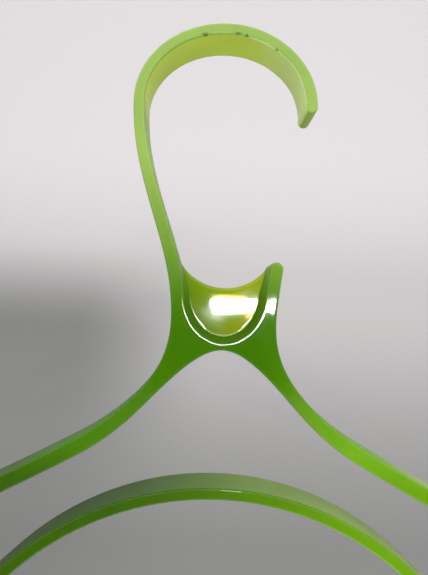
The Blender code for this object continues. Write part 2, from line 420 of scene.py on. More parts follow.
    def half_body_rungs(self) -> list[Rung]:
        """Returns the rungs from the cut under the pocket round the right end to the rail's middle."""
        root, heading = self.root()
        sweep = self.pen.arc(root, heading, self.sweep_radius, self.sweep_turn)
        start = sweep[-1][0]
        corner = self.end_side() + Vector((-self.corner_reach, self.corner_reach))
        chord = corner - start
        start_heading = heading + self.sweep_turn
        corner_heading = 2 * math.degrees(math.atan2(chord.y, chord.x)) - start_heading
        outwards = self.pen.plain_bend(start, start_heading, corner, corner_heading)
        line = sweep + outwards[1:]
        shoulder = rungs_across(line, self.root_thickness, self.shoulder_thickness, self.root_share)
        turn = self.pen.plain_bend(corner, corner_heading, self.end_side(), -90)
        turn += self.pen.arc(self.end_side(), -90, self.end_radius, -90)[1:]
        around = rungs_across(turn, self.shoulder_thickness, self.rail_thickness)
        slope = math.radians(self.crown_slope)
        crown_end = Vector((
            math.sin(slope) * self.crown_radius,
            self.crown_level - (1 - math.cos(slope)) * self.crown_radius,
        ))
        inwards = self.pen.plain_bend(turn[-1][0], 180, crown_end, 180 - self.crown_slope)
        crown = self.pen.arc(crown_end, 180 - self.crown_slope, self.crown_radius, self.crown_slope)
        rail = rungs_across(inwards + crown[1:], self.rail_thickness, self.rail_thickness)
        return self.leg_rungs() + shoulder[1:] + around[1:] + rail[1:]

    def neck_ribbon(self) -> list[Rung]:
        """Returns the ribbon from the hook's nose down, round the pocket and up to the prong's nose."""
        right = self.yoke_rungs()
        left = [(mirrored(outer), mirrored(inner)) for outer, inner in reversed(right)]
        prong = [(outer, inner) for inner, outer in self.prong_rungs()]
        return self.hook_rungs()[::-1] + left[1:] + right[1:] + prong[1:]

    def body_ribbon(self) -> list[Rung]:
        """Returns the ribbon from the right shoulder's root round the rail to the left one."""
        right = self.half_body_rungs()
        left = [(mirrored(outer), mirrored(inner)) for outer, inner in reversed(right)]
        return right + left[1:]

    def web_top(self, left: Vector, right: Vector, share: float) -> Vector:
        """Returns a point on the web's sagging upper edge.

        Args:
            left: its left corner.
            right: its right corner.
            share: how far along the edge the point is, from 0 to 1.

        Returns:
            The point.
        """
        half = (right - left).length / 2
        radius = (half**2 + self.web_sag**2) / (2 * self.web_sag)
        reach = math.asin(half / radius)
        along = (right - left).normalized()
        up = sideways(along)
        centre = (left + right) / 2 + up * (radius - self.web_sag)
        angle = reach * (2 * share - 1)
        return centre + along * math.sin(angle) * radius - up * math.cos(angle) * radius


class Bench:
    """A piece being shaped in edit mode, with the operators that a hand would use."""

    def __init__(self, name: str, start: Rung, across: float, level: float) -> None:
        """Starts a piece from a plane that is cut down to one edge.

        Args:
            name: the piece's name.
            start: where that edge goes.
            across: how far the drawing's symmetry plane is to the right of the row's.
            level: the depth at which the drawing lies.
        """
        self.across = across
        self.level = level
        bpy.ops.object.select_all(action="DESELECT")
        bpy.ops.mesh.primitive_plane_add(size=MM, location=self.place(start[0]))
        self.piece = bpy.context.active_object
        self.piece.name = name
        self.piece.data.name = name
        bpy.ops.object.transform_apply(location=True, rotation=True, scale=True)
        bpy.ops.object.mode_set(mode="EDIT")
        bpy.ops.mesh.select_mode(type="VERT")
        self.pick([0, 1])
        bpy.ops.mesh.delete(type="VERT")
        self.move(0, start[0])
        self.move(1, start[1])
        self.pick([0, 1])

    def place(self, point: Vector, depth: float | None = None) -> Vector:
        """Returns a point of the drawing as a point of the row."""
        return Vector((point.x + self.across, self.level if depth is None else depth, point.y))

    def mesh(self) -> bmesh.types.BMesh:
        """Returns the mesh under edit with its tables up to date."""
        mesh = bmesh.from_edit_mesh(self.piece.data)
        mesh.verts.ensure_lookup_table()
        mesh.edges.ensure_lookup_table()
        return mesh

    def pick(self, numbers: Iterable[int]) -> None:
        """Selects only the vertices with these numbers, and what lies wholly between them."""
        bpy.ops.mesh.select_all(action="DESELECT")
        mesh = self.mesh()
        for number in numbers:
            mesh.verts[number].select_set(True)
        mesh.select_flush(True)

    def picked(self) -> list[int]:
        """Returns the numbers of the selected vertices."""
        return [vert.index for vert in self.mesh().verts if vert.select]

    def pick_edges(self, numbers: Iterable[int]) -> None:
        """Selects only the edges with these numbers."""
        bpy.ops.mesh.select_all(action="DESELECT")
        bpy.ops.mesh.select_mode(type="EDGE")
        mesh = self.mesh()
        for number in numbers:
            mesh.edges[number].select_set(True)

    def move(self, number: int, target: Vector, depth: float | None = None) -> None:
        """Moves one vertex to a point of the drawing."""
        self.pick([number])
        shift = self.place(target, depth) - self.mesh().verts[number].co
        bpy.ops.transform.translate(value=shift)

    def sweep(self, rungs: Sequence[Rung]) -> None:
        """Extrudes the selected edge from rung to rung.

        Args:
            rungs: where each new edge goes; the first is where the selected edge already is.
        """
        last = rungs[0]
        for rung in rungs[1:]:
            shift = self.place(rung[0]) - self.place(last[0])
            bpy.ops.mesh.extrude_edges_move(TRANSFORM_OT_translate={"value": shift})
            fresh = self.picked()
            target = self.place(rung[0])
            far = max(fresh, key=lambda number: (self.mesh().verts[number].co - target).length)
            self.move(far, rung[1])
            self.pick(fresh)
            last = rung

    def numbers_at(self, points: Sequence[Vector], depth: float) -> list[int]:
        """Returns the numbers of the vertices nearest to points of the drawing at a depth."""
        mesh = self.mesh()
        level = [vert for vert in mesh.verts if abs(vert.co.y - depth) < LEVEL_SLACK]
        found = []
        for point in points:
            target = self.place(point, depth)
            found.append(min(level, key=lambda vert: (vert.co - target).length).index)
        return found

    def rim(self) -> list[int]:
        """Returns the numbers of the edges with one face only."""
        return [edge.index for edge in self.mesh().edges if len(edge.link_faces) == 1]

    def weld(self) -> None:
        """Merges vertices that share a place."""
        bpy.ops.mesh.select_mode(type="VERT")
        bpy.ops.mesh.select_all(action="SELECT")
        bpy.ops.mesh.remove_doubles(threshold=MERGE_DISTANCE)


@dataclass
class Moulding:
    """The whole hanger as one seamless piece.

    Attributes:
        plan: the flat drawing.
        edge_radius: rounding of the front and back edges.
        edge_steps: how many faces make that rounding.
        web_half: half the web's thickness.
        wall_draft: how far the pocket's wall leans in by the time it meets the web.
        corner_draft: the same at the web's corners.
        side_draft: how much wider each side of the strip is at half depth than at its faces.
        sink: how far the front face sinks inside its rounded edge.
        sink_margin: over what width it does so.
        fillet: rounding between the pocket's wall and the web.
        fillet_room: the most of the way to the web's upper edge that the fillet takes.
        fillet_steps: how many faces make it.
        lip_room: the most of that way that the upper edge's rounding takes.
        lip_steps: how many faces make it.
        web_rows: where the web's rows lie between the two roundings, as shares of the way.
        web_slack: how far off the web's faces a face of the web may lie.
    """

    plan: HangerPlan
    edge_radius: float = 0.5 * MM
    edge_steps: int = 4
    web_half: float = 0.9 * MM
    wall_draft: float = 1.15 * MM
    corner_draft: float = 0.3 * MM
    side_draft: float = 0.06 * MM
    sink: float = 0.02 * MM
    sink_margin: float = 0.25 * MM
    fillet: float = 0.35 * MM
    fillet_room: float = 0.3
    fillet_steps: int = 5
    lip_room: float = 0.3
    lip_steps: int = 5
    web_rows: tuple[float, ...] = (0.06, 0.35, 0.65, 0.94, 1.0)
    web_slack: float = 0.02 * MM

    def draw(self) -> Bench:
        """Draws the front face as one flat sheet of quads."""
        neck = self.plan.neck_ribbon()
        body = self.plan.body_ribbon()
        level = self.edge_radius - self.plan.half_depth
        bench = Bench("hanger_moulding", neck[0], self.plan.body_offset, level)
        bench.sweep(neck)
        bench.pick(bench.numbers_at(body[0], bench.level))
        bpy.ops.mesh.duplicate()
        bench.sweep(body)
        bench.weld()
        return bench

    def round_front(self, bench: Bench) -> None:
        """Rounds the front edge by insets that rise to the front plane, then sinks the face a little.

        Args:
            bench: the piece under way, still a flat sheet.
        """
        bpy.ops.mesh.select_all(action="SELECT")
        bpy.ops.mesh.normals_make_consistent(inside=False)
        mesh = bench.mesh()
        if mesh.faces[:][0].normal.y > 0:
            bpy.ops.mesh.flip_normals()
        quarter = math.pi / 2
        for step in range(self.edge_steps):
            low = quarter * step / self.edge_steps
            high = quarter * (step + 1) / self.edge_steps
            bpy.ops.mesh.inset(
                thickness=self.edge_radius * (math.cos(low) - math.cos(high)),
                depth=self.edge_radius * (math.sin(high) - math.sin(low)),
                use_boundary=True, use_even_offset=True,
            )
        bpy.ops.mesh.inset(
            thickness=self.sink_margin, depth=-self.sink, use_boundary=True, use_even_offset=True
        )

    def pocket_chain(self) -> list[Vector]:
        """Returns the ribbon's inner points from the web's left corner round to its right one."""
        inner = [rung[1] for rung in self.plan.neck_ribbon()]
        central = [number for number, point in enumerate(inner) if abs(point.x) < MM]
        first = last = min(central, key=lambda number: inner[number].y)
        while inner[first].y < self.plan.web_corner_level:
            first -= 1
        while inner[last].y < self.plan.web_corner_level:
            last += 1
        return inner[first : last + 1]

    def drafted(self, chain: Sequence[Vector]) -> list[Vector]:
        """Returns the chain where the leaning pocket wall meets the web."""
        centre = Vector((0, self.plan.pocket_side().y))
        corner_height = chain[0].y - centre.y
        moved = []
        for point in chain:
            inwards = centre - point
            draft = self.wall_draft
            if point.y > centre.y:
                share = (point.y - centre.y) / corner_height
                draft += (self.corner_draft - self.wall_draft) * min(share, 1.0)
                inwards = Vector((inwards.x, 0))
            moved.append(point + inwards.normalized() * draft)
        return moved

    def pull_back(self, bench: Bench) -> None:
        """Makes the strip's sides, the pocket's wall, the web and half of its upper edge.

        Args:
            bench: the piece under way, with its front face done.
        """
        chain = self.pocket_chain()
        inner = self.drafted(chain)
        web_level = -self.web_half
        bench.pick_edges(bench.rim())
        bpy.ops.mesh.extrude_region_move(TRANSFORM_OT_translate={"value": (0, web_level - bench.level, 0)})
        bpy.ops.mesh.select_mode(type="VERT")
        numbers = bench.numbers_at(chain, web_level)
        own = set(numbers)
        mesh = bench.mesh()
        around = [
            number for number in bench.rim()
            if not all(vert.index in own for vert in mesh.edges[number].verts)
        ]
        bench.pick_edges(around)
        bpy.ops.mesh.extrude_region_move(TRANSFORM_OT_translate={"value": (0, self.web_half, 0)})
        bpy.ops.transform.shrink_fatten(value=self.side_draft)
        bpy.ops.transform.resize(value=(1, 0, 1), center_override=(0, 0, 0))
        bpy.ops.mesh.select_mode(type="VERT")
        for corner, target in ((0, inner[0]), (-1, inner[-1])):
            far = bench.numbers_at([chain[corner]], 0.0)[0]
            bench.move(far, target, 0.0)
            bench.pick([numbers[corner], far])
            bpy.ops.mesh.subdivide(number_cuts=self.lip_steps - 1)
            bpy.ops.mesh.select_mode(type="VERT")
            between = [number for number in bench.picked() if number not in (numbers[corner], far)]
            between.sort(key=lambda number: bench.mesh().verts[number].co.y)
            for step, number in enumerate(between, start=1):
                turn = math.radians(90 * step / self.lip_steps)
                bench.move(number, target, web_level * math.cos(turn))
        self.lay_web(bench, numbers, inner)
        bench.weld()

    def lay_web(self, bench: Bench, numbers: Sequence[int], chain: Sequence[Vector]) -> None:
        """Lays the fillet, the web's front face and half of its rounded upper edge.

        Args:
            bench: the piece under way.
            numbers: the vertices where the wall ends, from the left corner to the right one.
            chain: where they go.
        """
        travelled = [0.0]
        for before, after in zip(chain, chain[1:]):
            travelled.append(travelled[-1] + (after - before).length)
        tops = [self.plan.web_top(chain[0], chain[-1], length / travelled[-1]) for length in travelled]
        rooms = [(top - low).length for low, top in zip(chain, tops)]
        fillets = [min(self.fillet, self.fillet_room * room) for room in rooms]
        lips = [min(self.web_half, self.lip_room * room) for room in rooms]
        ways = [(top - low).normalized() for low, top in zip(chain, tops)]
        ways[0] = ways[-1] = Vector((0, 0))
        for number, low, fillet in zip(numbers, chain, fillets):
            bench.move(number, low, -self.web_half - fillet)
        row = list(numbers)
        for step in range(1, self.fillet_steps + 1):
            turn = math.radians(90 * step / self.fillet_steps)
            out = 1 - math.cos(turn)
            targets = [low + way * fillet * out for low, way, fillet in zip(chain, ways, fillets)]
            depths = [-self.web_half - fillet * (1 - math.sin(turn)) for fillet in fillets]
            row = self.next_row(bench, row, targets, depths)
        flats = [low + way * fillet for low, way, fillet in zip(chain, ways, fillets)]
        edges = [top - way * lip for top, way, lip in zip(tops, ways, lips)]
        for share in self.web_rows:
            targets = [flat.lerp(edge, share) for flat, edge in zip(flats, edges)]
            row = self.next_row(bench, row, targets, [-self.web_half] * len(row))
        for step in range(1, self.lip_steps + 1):
            turn = math.radians(90 * step / self.lip_steps)
            targets = [edge + way * lip * math.sin(turn) for edge, way, lip in zip(edges, ways, lips)]
            row = self.next_row(bench, row, targets, [-self.web_half * math.cos(turn)] * len(row))

    def next_row(
        self, bench: Bench, row: Sequence[int], targets: Sequence[Vector], depths: Sequence[float]
    ) -> list[int]:
        """Extrudes a chain of edges once and sets its new vertices down one by one.

        Args:
            bench: the piece under way.
            row: the chain's vertices in order.
            targets: where their copies go in the drawing.
            depths: how deep they lie.

        Returns:
            The copies' numbers in the same order.
        """
        mesh = bench.mesh()
        pairs = {frozenset(pair) for pair in zip(row, row[1:])}
        edges = [edge.index for edge in mesh.edges if frozenset(vert.index for vert in edge.verts) in pairs]
        places = [mesh.verts[number].co.copy() for number in row]
        bench.pick_edges(edges)
        bpy.ops.mesh.extrude_edges_move(TRANSFORM_OT_translate={"value": (0, 0, 0)})
        bpy.ops.mesh.select_mode(type="VERT")
        fresh = bench.picked()
        mesh = bench.mesh()
        ordered = []
        for place in places:
            ordered.append(min(fresh, key=lambda number: (mesh.verts[number].co - place).length))
        for number, target, depth in zip(ordered, targets, depths):
            bench.move(number, target, depth)
        return ordered

    def finish(self, bench: Bench) -> bpy.types.Object:
        """Mirrors the half and sets the shading.

        Args:
            bench: the piece under way, with one half done.

        Returns:
            The finished piece.
        """
        bpy.ops.object.mode_set(mode="OBJECT")
        piece = bench.piece
        mirror = piece.modifiers.new("other_half", "MIRROR")
        mirror.use_axis = (False, True, False)
        mirror.use_clip = True
        mirror.merge_threshold = MERGE_DISTANCE
        bpy.ops.object.modifier_apply(modifier=mirror.name)
        bpy.ops.object.mode_set(mode="EDIT")
        bpy.ops.mesh.select_all(action="SELECT")
        bpy.ops.mesh.normals_make_consistent(inside=False)
        bpy.ops.object.mode_set(mode="OBJECT")
        bpy.ops.object.shade_smooth()
        evened = piece.modifiers.new("evened_normals", "WEIGHTED_NORMAL")
        evened.mode = "FACE_AREA_WITH_ANGLE"
        bpy.ops.object.modifier_apply(modifier=evened.name)
        return piece

    def dress(self, piece: bpy.types.Object) -> None:
        """Gives the strip and the web their materials.

        Args:
            piece: the finished piece.
        """
        for finish in (STRIP, WEB):
            piece.data.materials.append(finish.make())
        low, high = self.plan.web_levels()
        for face in piece.data.polygons:
            centre = face.center
            level = low < centre.z < high
            inside = abs(centre.x - self.plan.body_offset) < self.plan.post_half_span
            if level and inside and abs(centre.y) < self.web_half + self.web_slack:
                face.material_index = 1

    def build(self) -> bpy.types.Object:
        """Builds the whole piece.

        Returns:
            The finished moulding, placed in its mesh.
        """
        bench = self.draw()
        self.round_front(bench)
        self.pull_back(bench)
        return self.finish(bench)


class Wire:
    """A node's output that arithmetic works on."""

    def __init__(self, board: Board, socket: bpy.types.NodeSocket | None) -> None:
        """Wraps one output socket, or none where the node has none."""
        self.board = board
        self.socket = socket

    def __add__(self, other: Value) -> Wire:
        """Returns the sum."""
        return self.board.math("ADD", self, other)

    def __radd__(self, other: Value) -> Wire:
        """Returns the sum, from the right."""
        return self.board.math("ADD", other, self)

    def __sub__(self, other: Value) -> Wire:
        """Returns the difference."""
        return self.board.math("SUBTRACT", self, other)

    def __rsub__(self, other: Value) -> Wire:
        """Returns the difference, from the right."""
        return self.board.math("SUBTRACT", other, self)

    def __mul__(self, other: Value) -> Wire:
        """Returns the product."""
        return self.board.math("MULTIPLY", self, other)

    def __rmul__(self, other: Value) -> Wire:
        """Returns the product, from the right."""
        return self.board.math("MULTIPLY", other, self)

    def __abs__(self) -> Wire:
        """Returns the size without its sign."""
        return self.board.math("ABSOLUTE", self)

    def rising(self, low: float, high: float) -> Wire:
        """Returns a smooth step from 0 at the low value to 1 at the high one."""
        sockets = {"Value": self, "From Min": low, "From Max": high}
        return self.board.node("ShaderNodeMapRange", {"interpolation_type": "SMOOTHSTEP"}, sockets)

    def falling(self, low: float, high: float) -> Wire:
        """Returns a smooth step from 1 at the low value to 0 at the high one."""
        return 1 - self.rising(low, high)


Value = Wire | float


@dataclass(frozen=True)
class Spot:
    """A point of the surface, as wires.

    Attributes:
        place: the point itself.
        across: how far it is to the right of the rail's seat.
        depth: how far it is from the middle of the strip's depth, to the front or to the back.
        height: how far it is above the rail's seat.
    """

    place: Wire
    across: Wire
    depth: Wire
    height: Wire


class Board:
    """A material's or a world's node tree."""

    def __init__(self, tree: bpy.types.NodeTree) -> None:
        """Empties the tree."""
        self.tree = tree
        tree.nodes.clear()

    def node(self, kind: str, settings: dict, sockets: dict, output: int | str = 0) -> Wire:
        """Adds a node.

        Args:
            kind: the node's type.
            settings: its own settings, set before its sockets.
            sockets: values or wires for its inputs, by name or number.
            output: which of its outputs to return.

        Returns:
            That output.
        """
        made = self.tree.nodes.new(kind)
        for name, setting in settings.items():
            setattr(made, name, setting)
        for name, value in sockets.items():
            if isinstance(value, Wire):
                self.tree.links.new(value.socket, made.inputs[name])
            else:
                made.inputs[name].default_value = value
        return Wire(self, made.outputs[output] if made.outputs else None)

    def math(self, operation: str, *values: Value) -> Wire:
        """Adds a Math node."""
        return self.node("ShaderNodeMath", {"operation": operation}, dict(enumerate(values)))

    def split(self, vector: Wire) -> list[Wire]:
        """Returns a vector's three parts."""
        parts = self.node("ShaderNodeSeparateXYZ", {}, {0: vector}).socket.node
        return [Wire(self, socket) for socket in parts.outputs]

    def spot(self) -> Spot:
        """Returns the point of the surface that is being coloured."""
        place = self.node("ShaderNodeTexCoord", {}, {}, "Object")
        across, depth, height = self.split(place)
        return Spot(place, across, abs(depth), height)

    def mixed(self, share: Value, first: Wire | Colour, second: Wire | Colour) -> Wire:
        """Mixes two colours.

        Args:
            share: how much of the second colour there is.
            first: the first colour.
            second: the second colour.

        Returns:
            The mix.
        """
        sockets = {0: share}
        for number, colour in ((6, first), (7, second)):
            sockets[number] = colour if isinstance(colour, Wire) else (*colour, 1.0)
        return self.node("ShaderNodeMix", {"data_type": "RGBA"}, sockets, 2)

    def bump(self, height: Wire, strength: float, distance: float) -> Wire:
        """Returns the normal of a surface with these heights on it."""
        return self.node("ShaderNodeBump", {}, {"Height": height, "Strength": strength, "Distance": distance})

    def noise(self, place: Wire, size: float, detail: float) -> Wire:
        """Returns noise of one grain size, from 0 to 1."""
        return self.node("ShaderNodeTexNoise", {}, {"Vector": place, "Scale": 1 / size, "Detail": detail})


class Part(Enum):
    """The two thicknesses of the plastic; the thin web's colours are lighter with painted light that comes
    through it.
    """

    STRIP = "green_polypropylene"
    WEB = "thin_green_polypropylene"


@dataclass(frozen=True)
class Zones:
    """Where the plastic changes, from the rail's seat and from the middle of the strip's depth.

    Attributes:
        rail: the levels over which the lower rail's painted shade gives way to the body's colours.
        hook: the levels over which the body's colours give way to the hook's painted sheen.
        neck: the middle of the painted shade on the neck's thick part, across and up.
        neck_across: over what distance across the neck's painted shade fades.
        neck_up: over what distance up and down it fades.
        ring: half the width and half the height of the hook's inner face.
        ring_edge: where the inner face ends, in squares of its radius.
        ring_foot: the levels over which the inner face's painted light fades in.
        ring_lit: where across its lit side begins and is full.
        ring_highlight: where across the painted highlight along its front edge begins and is full.
        side: the depths over which the strip's sides give way to its front or back.
        edge_shade_outside: the depths over which the painted shade line along each edge begins.
        edge_shade_inside: the depths over which it ends.
        worn_edge: where the worn part of the hook's inner front edge ends, in squares of the radius.
        worn_up: the levels over which it begins.
        worn_depth: the depths over which it begins.
    """

    rail: Span = (-120 * MM, -108 * MM)
    hook: Span = (-79 * MM, -30 * MM)
    neck: Span = (1.8 * MM, -84 * MM)
    neck_across: Span = (6 * MM, 34 * MM)
    neck_up: Span = (6 * MM, 30 * MM)
    ring: Span = (21.4 * MM, 18.5 * MM)
    ring_edge: Span = (1.02, 1.06)
    ring_foot: Span = (-26 * MM, -16 * MM)
    ring_lit: Span = (4 * MM, 18 * MM)
    ring_highlight: Span = (1 * MM, 9 * MM)
    side: Span = (5.2 * MM, 5.6 * MM)
    edge_shade_outside: Span = (5.2 * MM, 5.35 * MM)
    edge_shade_inside: Span = (5.45 * MM, 5.7 * MM)
    worn_edge: Span = (1.05, 1.09)
    worn_up: Span = (-9 * MM, -3 * MM)
    worn_depth: Span = (4.6 * MM, 5.4 * MM)


@dataclass(frozen=True)
class Patterns:
    """The sizes and strengths of the plastic's patterns.

    Attributes:
        smear_size: size of the smears of handling.
        smear_share: between which noise values a smear sets in.
        grain_size: size of the surface's grain.
        ripple_size: distance between the ripples that uneven shrinking leaves.
        ripple_height: how high they could be.
        ripple_strength: how strong they are.
        cloud_size: size of the denser clouds in the plastic.
        cloud_base: how dense the plastic is everywhere.
        cloud_strength: how much denser the clouds are.
        speck_size: size of the marks of rails.
        speck_share: between which noise values a mark sets in.
        inside_lit: how strong the painted light on the lit side of the hook's inner face is.
        rail_top_light: how strong the painted light on the lower rail's upper and lower faces is.
        line: how strong the painted shade line along each edge is.
        painted_highlight: how strong the painted highlight along the hook's inner edge is.
        worn: how strong the marks of rails are.
    """

    smear_size: float = 9 * MM
    smear_share: Span = (0.45, 0.75)
    grain_size: float = 1.4 * MM
    ripple_size: float = 6 * MM
    ripple_height: float = 0.2 * MM
    ripple_strength: float = 0.05
    cloud_size: float = 14 * MM
    cloud_base: float = 0.12
    cloud_strength: float = 0.3
    speck_size: float = 2.2 * MM
    speck_share: Span = (0.6, 0.68)
    inside_lit: float = 0.7
    rail_top_light: float = 0.7
    line: float = 0.3
    painted_highlight: float = 0.9
    worn: float = 0.75


@dataclass(frozen=True)
class Polypropylene:
    """Glossy green polypropylene that some light passes through.

    Attributes:
        part: which thickness it is.
        body: colour of the body's left side, a copy of the plastic darkened by painted shade.
        right: colour of its right side, a copy lightened by painted light where the light reaches first.
        rail: colour of the lower rail's left side, darker still with painted shade.
        rail_lit: colour of its right side, lightened by painted light.
        neck: painted shade on the thick middle of the neck, where less light gets through.
        hook: colour of the hook, lightened by a painted sheen of reflected haze and by painted light through
            the thin strip.
        inside: colour of the hook's inner face, painted light standing in for the light from below that comes
            through.
        inside_lit: painted light on that face's lit side.
        rail_top_light: painted light on the lower rail's upper and lower faces on the right.
        line: colour of the painted dark line along each edge, standing in for the shade that the rounded
            edges refract.
        painted_highlight: colour of the painted highlight where the hook's inner edge catches the light.
        worn: colour of the marks that rails have left.
        cloud: colour of the denser clouds in the plastic.
        zones: where the colours change.
        patterns: the patterns in and on the plastic.
        change: where across the body the painted shade of the left side gives way to the painted light of the
            right.
        neck_shade_share: how strong the neck's painted shade is.
        gloss: roughness of the untouched surface.
        haze: how much rougher it gets where it has been handled.
        grain: how much rougher its grain makes it.
        sides: how much rougher the sides of the strip are than its front and back.
        refraction: index of refraction.
        mirror: specular level, under the usual 0.5 because the surface is waxy.
        transmission: share of the light that passes through.
        bleed: share of the light that spreads inside.
        spill: how far red, green and blue spread, as shares of spill_depth.
        spill_depth: how far light spreads.
    """

    part: Part
    body: Colour
    right: Colour
    rail: Colour
    rail_lit: Colour
    neck: Colour
    hook: Colour
    inside: Colour
    inside_lit: Colour = (0.8, 0.95, 0.4)
    rail_top_light: Colour = (0.36, 0.48, 0.14)
    line: Colour = (0.0, 0.03, 0.0)
    painted_highlight: Colour = (0.75, 0.9, 0.5)
    worn: Colour = (0.05, 0.06, 0.015)
    cloud: Colour = (0.02, 0.06, 0.0)
    zones: Zones = Zones()
    patterns: Patterns = Patterns()
    change: Span = (-30 * MM, 60 * MM)
    neck_shade_share: float = 1.0
    gloss: float = 0.03
    haze: float = 0.04
    grain: float = 0.01
    sides: float = 0.35
    refraction: float = 1.49
    mirror: float = 0.1
    transmission: float = 0.25
    bleed: float = 0.3
    spill: Colour = (1.0, 1.0, 0.3)
    spill_depth: float = 2.5 * MM

    def make(self) -> bpy.types.Material:
        """Builds the material."""
        material = bpy.data.materials.new(self.part.value)
        material.use_nodes = True
        board = Board(material.node_tree)
        spot = board.spot()
        shader = board.node("ShaderNodeBsdfPrincipled", {}, {
            "Base Color": self.colour(board, spot),
            "Roughness": self.roughness(board, spot),
            "Normal": self.ripple(board, spot),
            "IOR": self.refraction,
            "Specular IOR Level": self.mirror,
            "Transmission Weight": self.transmission,
            "Subsurface Weight": self.bleed,
            "Subsurface Radius": self.spill,
            "Subsurface Scale": self.spill_depth,
        })
        board.node("ShaderNodeOutputMaterial", {}, {"Surface": shader})
        return material

    def roughness(self, board: Board, spot: Spot) -> Wire:
        """Returns the roughness, with smears of handling and a fine grain."""
        smear = board.noise(spot.place, self.patterns.smear_size, 4.0).rising(*self.patterns.smear_share)
        grain = board.noise(spot.place, self.patterns.grain_size, 2.0)
        side = spot.depth.falling(*self.zones.side)
        return self.gloss + smear * self.haze + grain * self.grain + side * self.sides

    def ripple(self, board: Board, spot: Spot) -> Wire:
        """Returns the normal of a surface that shrank a little unevenly."""
        patterns = self.patterns
        wave = board.noise(spot.place, patterns.ripple_size, 1.0)
        return board.bump(wave, patterns.ripple_strength, patterns.ripple_height)

    def colour(self, board: Board, spot: Spot) -> Wire:
        """Returns the plastic's colour from place to place."""
        colour = self.through(board, spot)
        colour = self.on_the_sides(board, spot, colour)
        colour = self.along_the_edges(board, spot, colour)
        patterns = self.patterns
        clouds = (board.noise(spot.place, patterns.cloud_size, 3.0) - 0.5) * patterns.cloud_strength
        return board.mixed(clouds + patterns.cloud_base, colour, self.cloud)

    def through(self, board: Board, spot: Spot) -> Wire:
        """Returns the colours of the members, from the rail up to the hook, with painted light and shade in
        them.
        """
        zones = self.zones
        # painted light and shade: the right side is lit and the left side shaded, on the body and on the rail
        lit_share = spot.across.rising(*self.change)
        body = board.mixed(lit_share, self.body, self.right)
        rail = board.mixed(lit_share, self.rail, self.rail_lit)
        body = board.mixed(spot.height.falling(*zones.rail), body, rail)
        # painted shade on the neck's thick middle
        off_centre = abs(spot.across - zones.neck[0])
        off_level = abs(spot.height - zones.neck[1])
        deep = off_centre.falling(*zones.neck_across) * off_level.falling(*zones.neck_up)
        body = board.mixed(deep * self.neck_shade_share, body, self.neck)
        # painted sheen: the hook is lightened by a painted reflection of haze and by painted light through
        # its thin strip
        return board.mixed(spot.height.rising(*zones.hook), body, self.hook)

    def ring(self, spot: Spot) -> Wire:
        """Returns the square of the distance from the middle of the hook's inner face, in its radii."""
        across = spot.across * (1 / self.zones.ring[0])
        up = (spot.height + self.zones.ring[1]) * (1 / self.zones.ring[1])
        return across * across + up * up

    def inner(self, spot: Spot) -> Wire:
        """Returns 1 on the hook's inner face and along its edges, and 0 elsewhere."""
        return self.ring(spot).falling(*self.zones.ring_edge) * spot.height.rising(*self.zones.ring_foot)

    def on_the_sides(self, board: Board, spot: Spot, colour: Wire) -> Wire:
        """Paints light onto the strip's sides: a glow on the hook's inner face, brighter on its lit side, and
        light on the rail's upper and lower faces on the right.

        Args:
            board: the material's nodes.
            spot: the point that is being coloured.
            colour: the colour so far.

        Returns:
            The new colour.
        """
        zones = self.zones
        side = spot.depth.falling(*zones.side)
        # painted light: a glow on the hook's inner face, lighter still on its lit side
        inner = self.inner(spot) * side
        colour = board.mixed(inner, colour, self.inside)
        lit = inner * spot.across.rising(*zones.ring_lit) * self.patterns.inside_lit
        colour = board.mixed(lit, colour, self.inside_lit)
        # painted light on the rail's upper and lower faces on its lit right side
        top = side * spot.across.rising(*self.change) * spot.height.falling(*zones.rail)
        return board.mixed(top * self.patterns.rail_top_light, colour, self.rail_top_light)

    def along_the_edges(self, board: Board, spot: Spot, colour: Wire) -> Wire:
        """Adds a painted shade line along each edge, a painted highlight along the hook's inner edge, and the
        marks of rails.

        Args:
            board: the material's nodes.
            spot: the point that is being coloured.
            colour: the colour so far.

        Returns:
            The new colour.
        """
        zones = self.zones
        patterns = self.patterns
        # painted shade: a dark line along each edge, where the rounded edges would refract shade
        line = spot.depth.rising(*zones.edge_shade_outside) * spot.depth.falling(*zones.edge_shade_inside)
        colour = board.mixed(line * patterns.line, colour, self.line)
        # painted highlight along the hook's inner front edge
        painted_highlight = line * self.inner(spot) * spot.across.rising(*zones.ring_highlight)
        colour = board.mixed(painted_highlight * patterns.painted_highlight, colour, self.painted_highlight)
        speck = board.noise(spot.place, patterns.speck_size, 3.0).rising(*patterns.speck_share)
        edge = self.ring(spot).falling(*zones.worn_edge) * spot.depth.rising(*zones.worn_depth)
        worn = edge * spot.height.rising(*zones.worn_up) * speck
        return board.mixed(worn * patterns.worn, colour, self.worn)


# painted light and shade: the right sides are lit and the left sides, the rail and the neck shaded; the hook
# has a painted sheen and its inner face a painted glow
STRIP = Polypropylene(
    part=Part.STRIP,
    body=(0.052, 0.170, 0.0004),
    right=(0.155, 0.37, 0.008),
    rail=(0.030, 0.090, 0.0002),
    rail_lit=(0.125, 0.30, 0.002),
    neck=(0.040, 0.145, 0.0003),
    hook=(0.285, 0.44, 0.085),
    inside=(0.58, 0.74, 0.08),
)
# painted light: the web is lighter and yellower with the light that comes through it, and painted shade
# darkens its left side
WEB = Polypropylene(
    part=Part.WEB,
    body=(0.12, 0.235, 0.0003),
    right=(0.30, 0.375, 0.001),
    rail=(0.27, 0.37, 0.001),
    rail_lit=(0.27, 0.37, 0.001),
    neck=(0.27, 0.37, 0.001),
    hook=(0.36, 0.46, 0.03),
    inside=(0.36, 0.46, 0.03),
    change=(-8 * MM, 12 * MM),
    neck_shade_share=0.0,
    sides=0.0,
)


